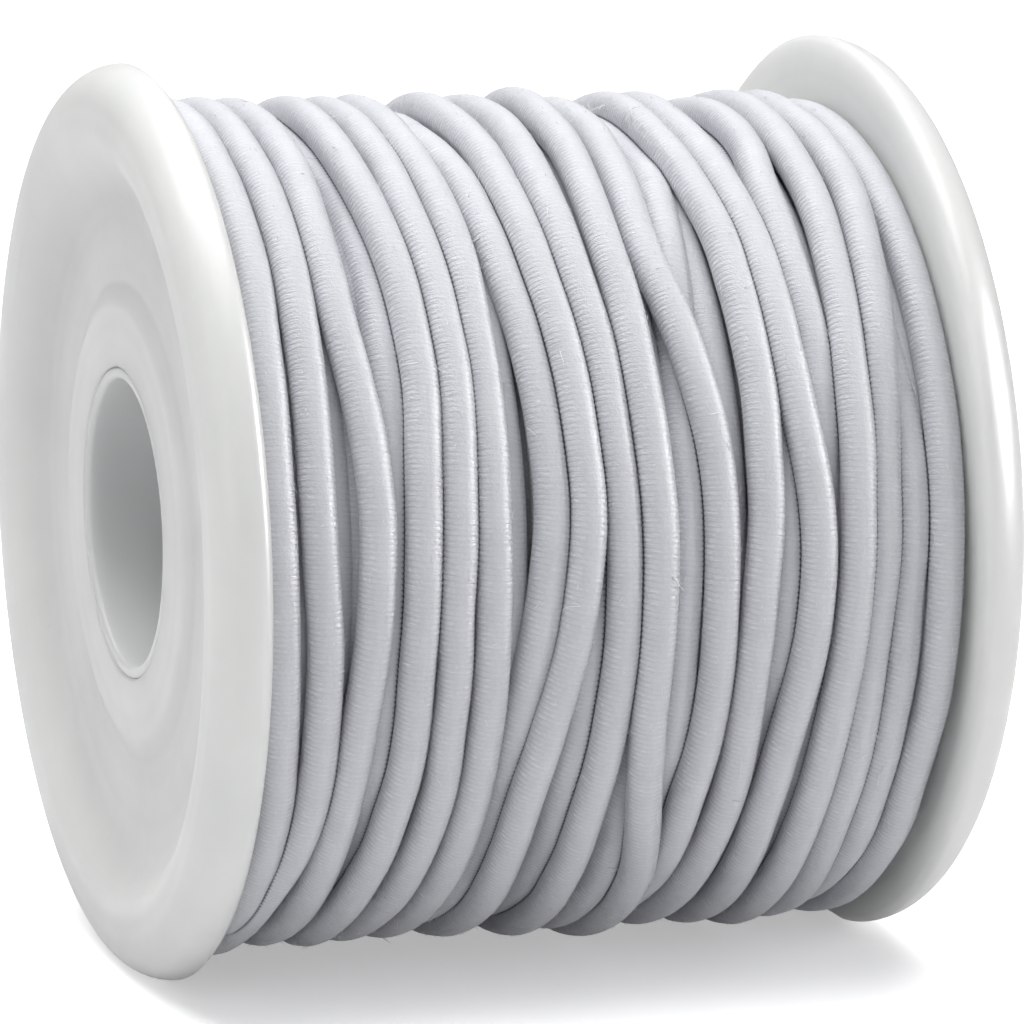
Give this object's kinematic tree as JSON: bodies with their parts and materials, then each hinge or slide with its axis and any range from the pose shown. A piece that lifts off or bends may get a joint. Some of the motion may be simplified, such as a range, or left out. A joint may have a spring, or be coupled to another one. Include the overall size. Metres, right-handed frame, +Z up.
{
  "type": "roll of elastic on a flanged spool",
  "caption": "Round covered elastic cord wound in uneven turns on a short plastic spool with wide rounded flanges and an open middle bore, lying on its rims.",
  "frame": {"origin": "under the middle of the spool, on the surface that its rims rest on", "axes": "+X along the spool's axis from the left flange to the right flange, -Y out of the front, +Z up"},
  "size_m": [0.0484, 0.054, 0.0538],
  "materials": {
    "flange_plastic": "milky translucent moulded plastic, satin",
    "tube_plastic": "milky translucent plastic tube, satin",
    "elastic_cover": "white spun cover with fine crosswise ribs"
  },
  "bodies": {
    "root": {"flange_left": "flange_plastic", "flange_right": "flange_plastic", "core_tube": "tube_plastic", "elastic_winding": "elastic_cover"}
  },
  "joints": []
}
